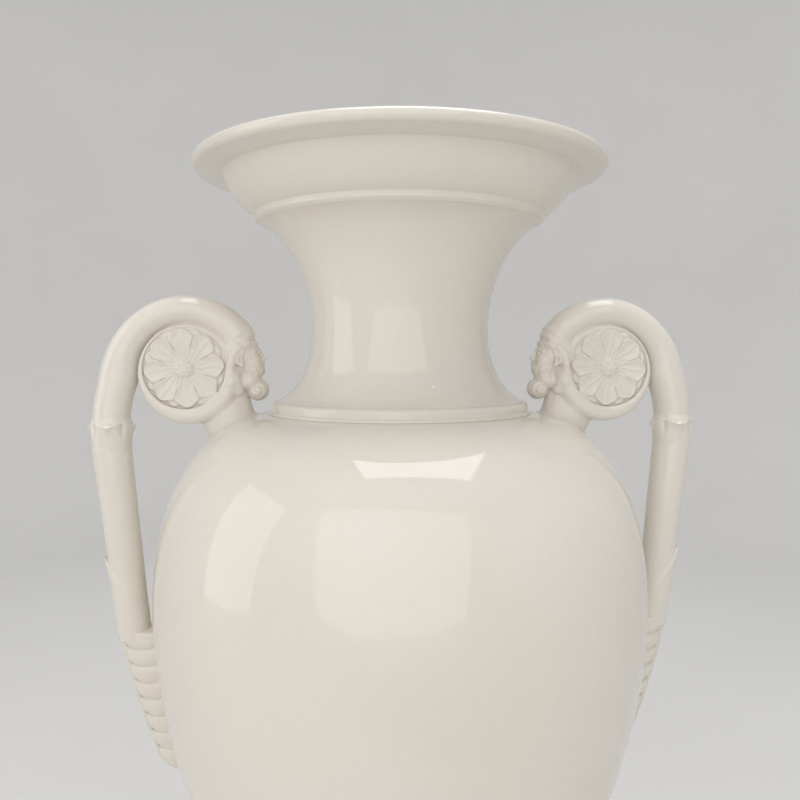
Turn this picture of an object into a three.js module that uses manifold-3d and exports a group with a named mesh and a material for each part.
// Large footed amphora vase of white porcelain with two scroll handles.
// Millimetres, +Z up, standing on z = 0 about the Z axis. The handles lie along X and the front faces -Y.
import * as THREE from "three";
import { mergeVertices } from "three/addons/utils/BufferGeometryUtils.js";
import Module from "manifold-3d";

const wasm = await Module();
wasm.setup();

// Facets and clearances
const turnFacets = 40;
const rodFacets = 16;
const drumFacets = 30;
const pocketFacets = 72;
const ballFacets = 16;
const curveSteps = 7;
const profileSteps = 4;
const armSteps = 14;
const petalSteps = 5;
const gap = 0.3;
const cutMargin = 1;

// Plinth
const plinthWidth = 150;
const plinthHeight = 24;
const plinthBevel = 1.5;
const recessRadius = 28;
const recessDepth = 14;

// Foot
const footHeight = 54;
const footBaseRadius = 70;
const footBeadHeight = 14;
const footBeadSwell = 2.5;
const footStepWidth = 4;
const footStepHeight = 3;
const footCollarRadius = 34;
const footCollarHeight = 10;
const footCollarSwell = 3.5;
const footWall = 11;
const footCrown = 12;

// Tie rod and its fittings
const rodRadius = 4;
const rodPassage = 1;
const rodEnd = 2.5;
const rodChamfer = 0.8;
const nutHeight = 6.5;
const nutCornerRadius = 7.5;
const washerRadius = 14;
const washerThickness = 1.6;
const cushionRadius = 17;
const cushionThickness = 2;
const gasketThickness = 2;
const gasketInset = 2;

// Body
const bodyHeight = 409;
const bodyRadius = 161.5;
const bodyBaseRadius = 34;
const bellyHeight = 286;
const bodyWall = 9;
const floorThickness = 14;
const shoulderInset = 73.5;
const bellyPull = 94;
const basePullOut = 73;
const basePullUp = 47;
const bellyPullUp = 70;
const shoulderPullOut = 47;
const shoulderPullDown = 3.5;

// Shoulder ring
const ringHeight = 8;
const ringInset = 2.6;
const ringStepHeight = 1.6;
const ringStepWidth = 1.6;
const ringBevel = 1.4;

// Neck
const neckHeight = 115.5;
const neckFootInset = 5.5;
const waistRadius = 58.7;
const waistHeight = 47;
const neckHeadRadius = 92;
const neckWall = 9;
const neckFootPullIn = 18;
const neckFootPullUp = 8;
const waistPullDown = 18;
const waistPullUp = 35;
const neckHeadPullIn = 15;
const neckHeadPullDown = 5.4;
const skirtInset = 21;
const skirtWall = 8;
const skirtLength = 20;
const spigotRadius = 88;
const spigotHeight = 4;

// Mouth
const mouthHeight = 38.5;
const ledgeRadius = 94.4;
const ledgeHeight = 2.3;
const bandHeight = 3;
const bandWidth = 0.8;
const bowlFootRadius = 97.4;
const bowlRimRadius = 115;
const bowlSwell = 3.5;
const lipRadius = 133.5;
const lipThickness = 7.4;
const lipRiseUnder = 2.2;
const mouthWall = 8;

// Volute
const voluteInset = 24.5;
const voluteRise = 26.5;
const voluteRadius = 32.8;
const voluteDepth = 27;
const flowerWellRadius = 26.2;
const voluteRecess = 4;
const flowerWellSlope = 0.8;
const rimRounding = 5;

// Rosettes
const rosetteInset = 21.4;
const rosetteRise = 29.9;
const petalCount = 8;
const petalHollow = 2.6;
const rosettePlay = 0.4;
const rosetteThickness = 2.2;
const rosetteBevel = 1;
const bossRadius = 8;
const bossHeight = 3.4;

// Collar between shoulder and volute
const collarInset = 49.4;
const collarWaistWidth = 34;
const collarFlare = 2.4;
const collarSpread = 2;
const collarFlareHeight = 6;
const collarDepth = 24;
const collarSink = 10;
const collarLength = 34;

// Arm over the volute
const curlInset = 21.7;
const curlRise = 27.2;
const armStandOff = 27.8;
const armSideStandOff = 21.5;
const armLean = 0.7;
const armRadius = 12;
const armSideRadius = 12.8;
const armTopRadius = 10;
const armTopDepth = 11.6;
const armTopReach = 40;
const armClosing = 3;
const armEndTurn = 132;
const armBend = 12;

// Mask at the end of the arm
const headInset = 57;
const headRise = 40.5;
const headLength = 28;
const headDepth = 27;
const headHeight = 32;
const beardInset = 66.2;
const beardRise = 21;
const beardWidth = 18.5;
const beardDepth = 20;
const beardHeight = 24;

// Calyx between arm and stem
const calyxHeight = 18.6;
const calyxTopDrop = 4.4;
const calyxWallOver = 0.9;
const calyxFlare = 3.2;
const calyxTipDrop = 2.6;
const calyxNotchDepth = 9;
const calyxTips = 4;
const calyxRoll = 1;
const tenonRadius = 6;
const tenonLength = 26;

// Stem
const stemTopWidth = 25.2;
const stemFootWidth = 21;
const stemFootStandOff = 16.6;

// Leaf
const leafHeight = 51;
const leafFlare = 3;
const leafThickness = 2.6;
const leafBackSlope = 0.9;
const leafTipHeight = 6;
const leafSwell = 1.6;
const leafMidSwell = 0.2;
const stemShoulder = 2;

// Ribbed root on the body's side
const rootTopDrop = 143;
const ribCount = 8;
const ribHeight = 11.6;
const ribGroove = 1.5;
const rootTopProud = 26.6;
const rootEndProud = 17.4;
const rootTopDepth = 24;
const rootEndDepth = 15;
const rootSink = 4;
const rootEndRounding = 5;
const ribCrestStart = 0.3;
const ribCrestEnd = 0.75;
const rootEndShare = 0.85;
const rootTipShare = 0.45;

// Heights of the joints between the turned pieces
const footTop = plinthHeight + footHeight;
const bodyBottom = footTop + gasketThickness;
const floorTop = bodyBottom + floorThickness;
const bodyTop = bodyBottom + bodyHeight;
const ringTop = bodyTop + ringHeight;
const neckTop = ringTop + neckHeight;
const mouthTop = neckTop + mouthHeight;
const plateBottom = recessDepth;

// Radii at the shoulder, which follow the body's
const shoulderRadius = bodyRadius - shoulderInset;
const ringRadius = shoulderRadius - ringInset;
const neckFootRadius = shoulderRadius - neckFootInset;
const skirtRadius = shoulderRadius - skirtInset;

// Distances of the handles' pieces from the axis
const voluteReach = bodyRadius - voluteInset;
const rosetteReach = bodyRadius - rosetteInset;
const curlReach = bodyRadius - curlInset;
const collarReach = bodyRadius - collarInset;
const armReach = bodyRadius + armStandOff;
const armSideReach = bodyRadius + armSideStandOff;
const headReach = bodyRadius - headInset;
const beardReach = bodyRadius - beardInset;

// Heights on the handles
const voluteHeight = bodyTop + voluteRise;
const rosetteHeight = bodyTop + rosetteRise;
const curlHeight = bodyTop + curlRise;
const calyxTop = bodyTop - calyxTopDrop;
const calyxBottom = calyxTop - calyxHeight;
const rootTop = bodyTop - rootTopDrop;
const leafTop = rootTop + leafHeight;

// Finishes
const glaze = new THREE.MeshStandardMaterial({ color: 0xe8e3d7, roughness: 0.1, metalness: 0 });
const steel = new THREE.MeshStandardMaterial({ color: 0x9a9b9c, roughness: 0.35, metalness: 1 });
const rubber = new THREE.MeshStandardMaterial({ color: 0x2a2826, roughness: 0.9, metalness: 0 });

// Closed solid from a geometry, with its facets turned outwards.
function solid(geometry) {
  const bare = geometry.clone();
  bare.deleteAttribute("normal");
  bare.deleteAttribute("uv");
  const merged = mergeVertices(bare);
  const corners = merged.getAttribute("position");
  const index = merged.getIndex().array;
  const triangles = [];
  let volume = 0;
  for (let i = 0; i < index.length; i += 3) {
    const [a, b, c] = [index[i], index[i + 1], index[i + 2]];
    if (a !== b && b !== c && c !== a) {
      const [p, q, r] = [a, b, c].map((corner) => new THREE.Vector3().fromBufferAttribute(corners, corner));
      volume += p.dot(q.cross(r));
      triangles.push(a, b, c);
    }
  }
  if (volume < 0) {
    triangles.reverse();
  }
  const vertProperties = Float32Array.from(corners.array);
  const triVerts = Uint32Array.from(triangles);
  return new wasm.Manifold(new wasm.Mesh({ numProp: 3, vertProperties, triVerts }));
}

function geometryOf(piece) {
  const mesh = piece.getMesh();
  const geometry = new THREE.BufferGeometry();
  geometry.setAttribute("position", new THREE.BufferAttribute(Float32Array.from(mesh.vertProperties), 3));
  geometry.setIndex(new THREE.BufferAttribute(Uint32Array.from(mesh.triVerts), 1));
  return geometry;
}

// Solid turned about Z from [radius, height] corners that run once round its section.
function turned(corners, facets = turnFacets) {
  const outline = corners.map(([radius, height]) => new THREE.Vector2(radius, height));
  outline.push(outline[0].clone());
  return solid(new THREE.LatheGeometry(outline, facets).rotateX(Math.PI / 2));
}

function cylinder(radius, bottom, top, facets = turnFacets) {
  return turned([[0, bottom], [radius, bottom], [radius, top], [0, top]], facets);
}

function pairs(points) {
  return points.map((point) => [point.x, point.y]);
}

// Points of a curve pushed sideways, outwards when the curve climbs and the distance is positive.
function pushed(points, distance) {
  return points.map((point, i) => {
    const before = points[Math.max(i - 1, 0)];
    const after = points[Math.min(i + 1, points.length - 1)];
    const travel = after.clone().sub(before).normalize();
    return new THREE.Vector2(point.x + travel.y * distance, point.y - travel.x * distance);
  });
}

// Radius of a climbing outline at a height.
function radiusAt(points, height) {
  const last = points.length - 1;
  let i = 1;
  while (i < last && points[i].y < height) {
    i += 1;
  }
  const share = (height - points[i - 1].y) / (points[i].y - points[i - 1].y);
  return THREE.MathUtils.lerp(points[i - 1].x, points[i].x, share);
}

// Solid skin over a row of closed rings with equal counts of points, closed by a flat fan at each end.
function skinned(rings) {
  const count = rings[0].length;
  const corners = rings.flat();
  const index = [];
  for (let row = 0; row + 1 < rings.length; row += 1) {
    for (let i = 0; i < count; i += 1) {
      const a = row * count + i;
      const b = row * count + ((i + 1) % count);
      index.push(a, b, a + count, b, b + count, a + count);
    }
  }
  [rings[0], rings[rings.length - 1]].forEach((ring, end) => {
    const centre = ring.reduce((sum, point) => sum.add(point), new THREE.Vector3()).divideScalar(count);
    const hub = corners.push(centre) - 1;
    const start = end === 0 ? 0 : (rings.length - 1) * count;
    for (let i = 0; i < count; i += 1) {
      const a = start + i;
      const b = start + ((i + 1) % count);
      index.push(...(end === 0 ? [b, a, hub] : [a, b, hub]));
    }
  });
  const geometry = new THREE.BufferGeometry().setFromPoints(corners);
  geometry.setIndex(index);
  return solid(geometry);
}

// Oval ring with its centre in the handle's plane, leaning by a tilt from level.
function ovalRing(x, z, halfWidth, halfDepth, tilt = 0) {
  return Array.from({ length: rodFacets }, (_, i) => {
    const turn = (2 * Math.PI * i) / rodFacets;
    const across = halfWidth * Math.cos(turn);
    const along = halfDepth * Math.sin(turn);
    return new THREE.Vector3(x + across * Math.cos(tilt), along, z + across * Math.sin(tilt));
  });
}

function ball(x, z, width, depth, height) {
  const geometry = new THREE.SphereGeometry(0.5, ballFacets, 11);
  geometry.scale(width, depth, height).translate(x, 0, z);
  return solid(geometry);
}

// Outer outlines of body and neck, climbing
const bodyCurve = new THREE.Path();
bodyCurve.moveTo(bodyBaseRadius, bodyBottom);
bodyCurve.bezierCurveTo(
  bodyBaseRadius + basePullOut, bodyBottom + basePullUp,
  bodyRadius, bodyBottom + bellyHeight - bellyPull,
  bodyRadius, bodyBottom + bellyHeight,
);
bodyCurve.bezierCurveTo(
  bodyRadius, bodyBottom + bellyHeight + bellyPullUp,
  shoulderRadius + shoulderPullOut, bodyTop - shoulderPullDown,
  shoulderRadius, bodyTop,
);
const bodyOutline = bodyCurve.getPoints(curveSteps);

const neckCurve = new THREE.Path();
neckCurve.moveTo(neckFootRadius, ringTop);
neckCurve.bezierCurveTo(
  neckFootRadius - neckFootPullIn, ringTop + neckFootPullUp,
  waistRadius, ringTop + waistHeight - waistPullDown,
  waistRadius, ringTop + waistHeight,
);
neckCurve.bezierCurveTo(
  waistRadius, ringTop + waistHeight + waistPullUp,
  neckHeadRadius - neckHeadPullIn, neckTop - neckHeadPullDown,
  neckHeadRadius, neckTop,
);
const neckOutline = neckCurve.getPoints(curveSteps);
const neckInside = pushed(neckOutline, -neckWall);
const spigotTop = neckTop + spigotHeight;

function makePlinth() {
  const half = plinthWidth / 2 - plinthBevel;
  const square = new THREE.Shape();
  square.moveTo(-half, -half);
  square.lineTo(half, -half);
  square.lineTo(half, half);
  square.lineTo(-half, half);
  const slab = new THREE.ExtrudeGeometry(square, {
    depth: plinthHeight - 2 * plinthBevel,
    bevelThickness: plinthBevel,
    bevelSize: plinthBevel,
    bevelSegments: 2,
  });
  slab.translate(0, 0, plinthBevel);
  return solid(slab)
    .subtract(cylinder(recessRadius, -cutMargin, plateBottom))
    .subtract(cylinder(rodRadius + rodPassage, 0, plinthHeight + cutMargin));
}

function makeFoot() {
  const curve = new THREE.Path();
  const beadTop = plinthHeight + footBeadHeight;
  const stepTop = beadTop + footStepHeight;
  const collarBottom = footTop - footCollarHeight;
  const stepRadius = footBaseRadius - footStepWidth;
  const crownBottom = footTop - footCrown;
  curve.moveTo(footBaseRadius, plinthHeight);
  curve.quadraticCurveTo(
    footBaseRadius + 2 * footBeadSwell, (plinthHeight + beadTop) / 2,
    footBaseRadius, beadTop,
  );
  curve.lineTo(stepRadius, beadTop);
  curve.lineTo(stepRadius, stepTop);
  curve.quadraticCurveTo(footCollarRadius, stepTop, footCollarRadius, collarBottom);
  curve.quadraticCurveTo(
    footCollarRadius + 2 * footCollarSwell, (collarBottom + footTop) / 2,
    footCollarRadius, footTop,
  );
  const hollow = new THREE.Path();
  hollow.moveTo(footCollarRadius - footWall, crownBottom);
  hollow.quadraticCurveTo(
    footCollarRadius - footWall, stepTop - footWall / 2,
    stepRadius - footWall, plinthHeight,
  );
  return turned([
    ...pairs(curve.getPoints(profileSteps)),
    [rodRadius + rodPassage, footTop],
    [rodRadius + rodPassage, crownBottom],
    ...pairs(hollow.getPoints(profileSteps)),
  ]);
}

function makeBody() {
  const inside = pushed(bodyOutline, -bodyWall).filter((point) => point.y > floorTop);
  const hole = skirtRadius + gap;
  const vault = inside.filter((point) => point.x > hole && point.y < bodyTop - bodyWall).reverse();
  const passage = rodRadius + rodPassage;
  return turned([
    [passage, bodyBottom],
    ...pairs(bodyOutline),
    [hole, bodyTop],
    [hole, bodyTop - bodyWall],
    ...pairs(vault),
    [radiusAt(pushed(bodyOutline, -bodyWall), floorTop), floorTop],
    [passage, floorTop],
  ]);
}

function makeShoulderRing() {
  return turned([
    [skirtRadius + gap, bodyTop],
    [ringRadius + ringStepWidth, bodyTop],
    [ringRadius + ringStepWidth, bodyTop + ringStepHeight],
    [ringRadius, bodyTop + ringStepHeight],
    [ringRadius - ringBevel, ringTop - ringBevel],
    [ringRadius - 2 * ringBevel, ringTop],
    [skirtRadius + gap, ringTop],
  ]);
}

function makeNeck() {
  const skirtInside = skirtRadius - skirtWall;
  const throat = neckInside.filter((point) => point.x < skirtInside || point.y > ringTop + waistHeight);
  const bore = throat.filter((point) => point.y > ringTop && point.y < spigotTop).reverse();
  return turned([
    [skirtRadius, ringTop],
    ...pairs(neckOutline),
    [spigotRadius, neckTop],
    [spigotRadius, spigotTop],
    [radiusAt(neckInside, spigotTop), spigotTop],
    ...pairs(bore),
    [skirtInside, ringTop],
    [skirtInside, ringTop - skirtLength],
    [skirtRadius, ringTop - skirtLength],
  ]);
}

function makeMouth() {
  const bandBottom = neckTop + ledgeHeight;
  const bandTop = bandBottom + bandHeight;
  const underLip = mouthTop - lipThickness;
  const edge = lipThickness / 2;
  const edgeCentre = lipRadius - edge;
  const outside = new THREE.Path();
  outside.moveTo(ledgeRadius, bandBottom);
  outside.lineTo(ledgeRadius + bandWidth, bandTop);
  outside.lineTo(bowlFootRadius, bandTop + bandWidth);
  outside.quadraticCurveTo(
    (bowlFootRadius + bowlRimRadius) / 2 + bowlSwell, (bandTop + underLip) / 2 - bowlSwell,
    bowlRimRadius, underLip - lipRiseUnder,
  );
  outside.lineTo(edgeCentre, underLip);
  outside.absarc(edgeCentre, underLip + edge, edge, -Math.PI / 2, Math.PI / 2, false);
  const inside = new THREE.Path();
  inside.moveTo(edgeCentre, mouthTop);
  inside.quadraticCurveTo(
    bowlRimRadius - mouthWall, mouthTop - edge,
    radiusAt(neckInside, spigotTop), spigotTop + gap,
  );
  return turned([
    [neckHeadRadius, neckTop],
    ...pairs(outside.getPoints(profileSteps)),
    ...pairs(inside.getPoints(profileSteps)).slice(1),
    [spigotRadius + gap, spigotTop + gap],
    [spigotRadius + gap, neckTop],
  ]);
}

// Rod, nuts, washers and their beddings, stacked from the faces that they press on
const innerWasherBottom = floorTop + cushionThickness;
const innerNutBottom = innerWasherBottom + washerThickness;
const baseWasherTop = plateBottom - cushionThickness;
const baseNutTop = baseWasherTop - washerThickness;

function makeRod() {
  const bottom = baseNutTop - nutHeight - rodEnd;
  const top = innerNutBottom + nutHeight + rodEnd;
  const corners = [
    [0, bottom],
    [rodRadius - rodChamfer, bottom],
    [rodRadius, bottom + rodChamfer],
    [rodRadius, top - rodChamfer],
    [rodRadius - rodChamfer, top],
    [0, top],
  ];
  return turned(corners, rodFacets);
}

function makeDisc(radius, bottom, thickness) {
  const passage = cylinder(rodRadius + gap, bottom - cutMargin, bottom + thickness + cutMargin, rodFacets);
  return cylinder(radius, bottom, bottom + thickness).subtract(passage);
}

function makeNut(bottom) {
  const block = new THREE.CylinderGeometry(nutCornerRadius, nutCornerRadius, nutHeight, 6);
  block.rotateX(Math.PI / 2).translate(0, 0, bottom + nutHeight / 2);
  const passage = cylinder(rodRadius + gap, bottom - cutMargin, bottom + nutHeight + cutMargin, rodFacets);
  return solid(block).subtract(passage);
}

// Volute drum lying along Y, and the same drum grown by a clearance for cutting its neighbours
function makeVolute() {
  const face = voluteDepth / 2;
  const floor = face - voluteRecess;
  const rim = new THREE.Path();
  rim.moveTo(voluteRadius - rimRounding, -face);
  rim.quadraticCurveTo(voluteRadius, -face, voluteRadius, 0);
  rim.quadraticCurveTo(voluteRadius, face, voluteRadius - rimRounding, face);
  const corners = [new THREE.Vector2(0, -face), ...rim.getPoints(3), new THREE.Vector2(0, face)];
  const drum = new THREE.LatheGeometry(corners, drumFacets).translate(voluteReach, 0, voluteHeight);
  const deep = voluteRecess + cutMargin;
  const wide = flowerWellRadius + (flowerWellSlope * deep) / voluteRecess;
  const recesses = [-1, 1].map((sign) => {
    const [start, end] = sign < 0 ? [wide, flowerWellRadius] : [flowerWellRadius, wide];
    const hollow = new THREE.CylinderGeometry(end, start, deep, drumFacets);
    return solid(hollow.translate(rosetteReach, sign * (floor + deep / 2), rosetteHeight));
  });
  return solid(drum).subtract(recesses[0]).subtract(recesses[1]);
}

function volutePocket() {
  const radius = voluteRadius + gap;
  const drum = new THREE.CylinderGeometry(radius, radius, voluteDepth * 2, pocketFacets);
  return solid(drum.translate(voluteReach, 0, voluteHeight));
}

// Rosette lying in the recess of the face on the side given by its sign along Y
function makeRosette(sign) {
  const outer = flowerWellRadius - rosettePlay - rosetteBevel;
  const count = petalCount * petalSteps;
  const petals = new THREE.Shape(Array.from({ length: count }, (_, i) => {
    const turn = (2 * Math.PI * i) / count;
    const radius = outer - petalHollow * (1 - Math.abs(Math.cos((petalCount * turn) / 2)));
    return new THREE.Vector2(radius * Math.cos(turn), radius * Math.sin(turn));
  }));
  const relief = new THREE.ExtrudeGeometry(petals, {
    depth: rosetteThickness - rosetteBevel,
    bevelThickness: rosetteBevel,
    bevelSize: rosetteBevel,
    bevelSegments: 1,
  });
  relief.translate(0, 0, rosetteBevel);
  const boss = new THREE.SphereGeometry(1, ballFacets, 8);
  boss.scale(bossRadius, bossRadius, bossHeight).translate(0, 0, rosetteThickness + rosetteBevel);
  const below = new THREE.BoxGeometry(2 * flowerWellRadius, 2 * flowerWellRadius, flowerWellRadius);
  below.translate(0, 0, -flowerWellRadius / 2);
  const flower = geometryOf(solid(relief).add(solid(boss)).subtract(solid(below)));
  flower.rotateX(-sign * Math.PI / 2);
  flower.translate(rosetteReach, sign * (voluteDepth / 2 - voluteRecess), rosetteHeight);
  return solid(flower);
}

function bodyPocket() {
  return turned([[0, bodyBottom], ...pairs(pushed(bodyOutline, gap)), [0, bodyTop + gap]], turnFacets);
}

// Height of the shoulder's surface at a distance from the axis
function outlineHeight(radius) {
  const shoulder = bodyOutline.filter((point) => point.y > bodyBottom + bellyHeight).reverse();
  const turnedOver = shoulder.map((point) => new THREE.Vector2(point.y, point.x));
  return radiusAt(turnedOver, radius);
}

// Collar that stands square on the shoulder and runs up to the volute
function makeCollar() {
  const foot = outlineHeight(collarReach);
  const lean = Math.atan2(
    outlineHeight(collarReach - collarWaistWidth / 2) - outlineHeight(collarReach + collarWaistWidth / 2),
    collarWaistWidth,
  );
  const stations = [
    [-collarSink, collarFlare + collarSpread],
    [0, collarFlare],
    [collarFlareHeight, 0],
    [collarLength, 0],
  ];
  const rings = stations.map(([along, extra]) => ovalRing(
    collarReach + along * Math.sin(lean),
    foot + along * Math.cos(lean),
    collarWaistWidth / 2 + extra,
    collarDepth / 2 + extra,
    -lean,
  ));
  return skinned(rings).subtract(volutePocket()).subtract(bodyPocket()).subtract(headSolid(gap));
}

// Arm: up from the calyx, then round the volute; grown by a clearance to cut the mask
function armSolid(grow) {
  const rings = [ovalRing(armReach, calyxTop, armRadius + grow, armRadius + grow)];
  rings.push(ovalRing(armReach - armLean, calyxTop + armBend, armRadius + grow, armRadius + grow));
  const sideReach = armSideReach - curlReach;
  for (let i = 0; i <= armSteps; i += 1) {
    const degrees = (armEndTurn * i) / armSteps;
    const turn = THREE.MathUtils.degToRad(degrees);
    const left = Math.max(0, 1 - degrees / 90) ** armClosing;
    const reach = armTopReach + (sideReach - armTopReach) * left;
    const radius = armTopRadius + (armSideRadius - armTopRadius) * left + grow;
    const depth = armTopDepth + (armRadius - armTopDepth) * left + grow;
    const x = curlReach + reach * Math.cos(turn);
    const z = curlHeight + reach * Math.sin(turn);
    rings.push(ovalRing(x, z, radius, depth, turn));
  }
  return skinned(rings);
}

function makeArm() {
  const socketTop = calyxBottom + tenonLength + gap;
  const socket = cylinder(tenonRadius + gap, calyxTop - cutMargin, socketTop, rodFacets);
  return armSolid(0)
    .subtract(volutePocket())
    .subtract(socket.translate([armReach, 0, 0]));
}

// Bearded head that ends the arm and looks at the neck; grown by a clearance to cut the collar
function headSolid(grow) {
  const wider = 2 * grow;
  const headSize = [headLength + wider, headDepth + wider, headHeight + wider];
  const beardSize = [beardWidth + wider, beardDepth + wider, beardHeight + wider];
  const head = ball(headReach, bodyTop + headRise, ...headSize);
  return head.add(ball(beardReach, bodyTop + beardRise, ...beardSize));
}

function makeMask() {
  return headSolid(0).subtract(volutePocket()).subtract(armSolid(gap));
}

// Calyx: a collar with pointed, flared tips, threaded over the stem's tenon
function makeCalyx() {
  const wall = armRadius + calyxWallOver;
  const ring = (radius, flare, height, rise) => Array.from({ length: rodFacets * 2 }, (_, i) => {
    const turn = (Math.PI * i) / rodFacets;
    const tip = 1 - Math.abs(Math.sin((calyxTips * turn) / 2));
    const reach = radius + flare * tip;
    const x = armReach + reach * Math.cos(turn);
    return new THREE.Vector3(x, reach * Math.sin(turn), height + rise * tip);
  });
  const notch = calyxTop - calyxTipDrop - calyxNotchDepth;
  const rings = [
    ring(stemTopWidth / 2, 0, calyxBottom, 0),
    ring(wall, 0, calyxBottom + calyxHeight / 3, 0),
    ring(wall, calyxFlare, notch, calyxNotchDepth),
    ring(wall, 0, calyxTop - calyxRoll, 0),
    ring(armRadius, 0, calyxTop, 0),
  ];
  const bore = cylinder(tenonRadius + gap, calyxBottom - cutMargin, calyxTop + cutMargin, rodFacets);
  return skinned(rings).subtract(bore.translate([armReach, 0, 0]));
}

// Distance of the stem's centre from the axis at a height, from the calyx down to the root
function stemCentre(height) {
  const share = (height - rootTop) / (calyxBottom - rootTop);
  const footReach = radiusAt(bodyOutline, rootTop) + stemFootStandOff;
  return THREE.MathUtils.lerp(footReach, armReach, share);
}

function stemHalfWidth(height) {
  const share = (height - rootTop) / (calyxBottom - rootTop);
  return THREE.MathUtils.lerp(stemFootWidth, stemTopWidth, share) / 2;
}

// Stem, thinned on its outer side below the leaf's top; grown by a clearance to cut the leaf
function stemSolid(grow) {
  const levels = [
    [rootTop, leafThickness],
    [leafTop - leafTipHeight, leafThickness],
    [leafTop + stemShoulder, 0],
    [(leafTop + calyxBottom) / 2, 0],
    [calyxBottom, 0],
  ];
  return skinned(levels.map(([height, thinned]) => {
    const half = stemHalfWidth(height);
    return ovalRing(stemCentre(height) - thinned / 2, height, half - thinned / 2 + grow, half + grow);
  }));
}

function makeStem() {
  const tenon = cylinder(tenonRadius, calyxBottom - cutMargin, calyxBottom + tenonLength, rodFacets);
  return stemSolid(0).add(tenon.translate([armReach, 0, 0])).subtract(bodyPocket());
}

// Leaf wrapped round the stem's outer side, with its tip bent outwards
function makeLeaf() {
  const levels = [
    [rootTop, 0],
    [rootTop + leafHeight / 2, leafMidSwell],
    [leafTop - leafTipHeight, leafSwell],
    [leafTop, leafFlare],
  ];
  const rings = levels.map(([height, flare]) => {
    const half = stemHalfWidth(height);
    return ovalRing(stemCentre(height) + flare / 2, height, half + flare / 2, half + flare / 3);
  });
  const reach = stemCentre(leafTop) + stemHalfWidth(leafTop) + leafFlare;
  const cutter = new THREE.BoxGeometry(2 * leafHeight, leafHeight, leafHeight);
  cutter.translate(-leafHeight, 0, leafHeight / 2);
  cutter.rotateY(-leafBackSlope).translate(reach, 0, leafTop);
  return skinned(rings)
    .subtract(stemSolid(gap))
    .subtract(solid(cutter))
    .subtract(bodyPocket());
}

// Root: ribs stacked down the body's side, rounded off at the lower end
function makeRoot() {
  const length = ribCount * ribHeight;
  const level = (down, groove, share = 1) => {
    const height = rootTop - down;
    const surface = radiusAt(bodyOutline, height);
    const proud = THREE.MathUtils.lerp(rootTopProud, rootEndProud, down / length);
    const depth = THREE.MathUtils.lerp(rootTopDepth, rootEndDepth, down / length);
    const outer = surface + (proud - groove) * share;
    const inner = surface - rootSink;
    return ovalRing((outer + inner) / 2, height, (outer - inner) / 2, (depth / 2 - groove) * share);
  };
  const rings = [];
  for (let rib = 0; rib < ribCount; rib += 1) {
    const start = rib * ribHeight;
    rings.push(level(start, rib === 0 ? 0 : ribGroove));
    rings.push(level(start + ribHeight * ribCrestStart, 0));
    rings.push(level(start + ribHeight * ribCrestEnd, 0));
  }
  rings.push(level(length, 0, rootEndShare));
  rings.push(level(length + rootEndRounding, 0, rootTipShare));
  return skinned(rings.reverse()).subtract(bodyPocket());
}

const vase = new THREE.Group();

function place(name, geometry, material) {
  geometry.computeVertexNormals();
  const mesh = new THREE.Mesh(geometry, material);
  mesh.name = name;
  vase.add(mesh);
}

// Turned pieces and fasteners
const turnedPieces = [
  ["mouth", makeMouth(), glaze],
  ["neck", makeNeck(), glaze],
  ["shoulder_ring", makeShoulderRing(), glaze],
  ["body", makeBody(), glaze],
  ["foot", makeFoot(), glaze],
  ["plinth", makePlinth(), glaze],
  ["tie_rod", makeRod(), steel],
  ["inner_nut", makeNut(innerNutBottom), steel],
  ["inner_washer", makeDisc(washerRadius, innerWasherBottom, washerThickness), steel],
  ["inner_cushion", makeDisc(cushionRadius, floorTop, cushionThickness), rubber],
  ["joint_gasket", makeDisc(bodyBaseRadius - gasketInset, footTop, gasketThickness), rubber],
  ["base_cushion", makeDisc(cushionRadius, baseWasherTop, cushionThickness), rubber],
  ["base_washer", makeDisc(washerRadius, baseNutTop, washerThickness), steel],
  ["base_nut", makeNut(baseNutTop - nutHeight), steel],
];
turnedPieces.forEach(([name, piece, material]) => place(name, geometryOf(piece), material));

// Handles: each piece is made on the right side and mirrored for the left
const handlePieces = [
  ["collar", makeCollar()],
  ["volute", makeVolute()],
  ["rosette_front", makeRosette(-1)],
  ["rosette_back", makeRosette(1)],
  ["mask", makeMask()],
  ["arm", makeArm()],
  ["calyx", makeCalyx()],
  ["stem", makeStem()],
  ["leaf", makeLeaf()],
  ["root", makeRoot()],
];

function mirrored(geometry) {
  const twin = geometry.clone().scale(-1, 1, 1);
  twin.getIndex().array.reverse();
  return twin;
}

handlePieces.forEach(([name, piece]) => {
  place(`right_${name}`, geometryOf(piece), glaze);
  place(`left_${name}`, mirrored(geometryOf(piece)), glaze);
});

export default vase;
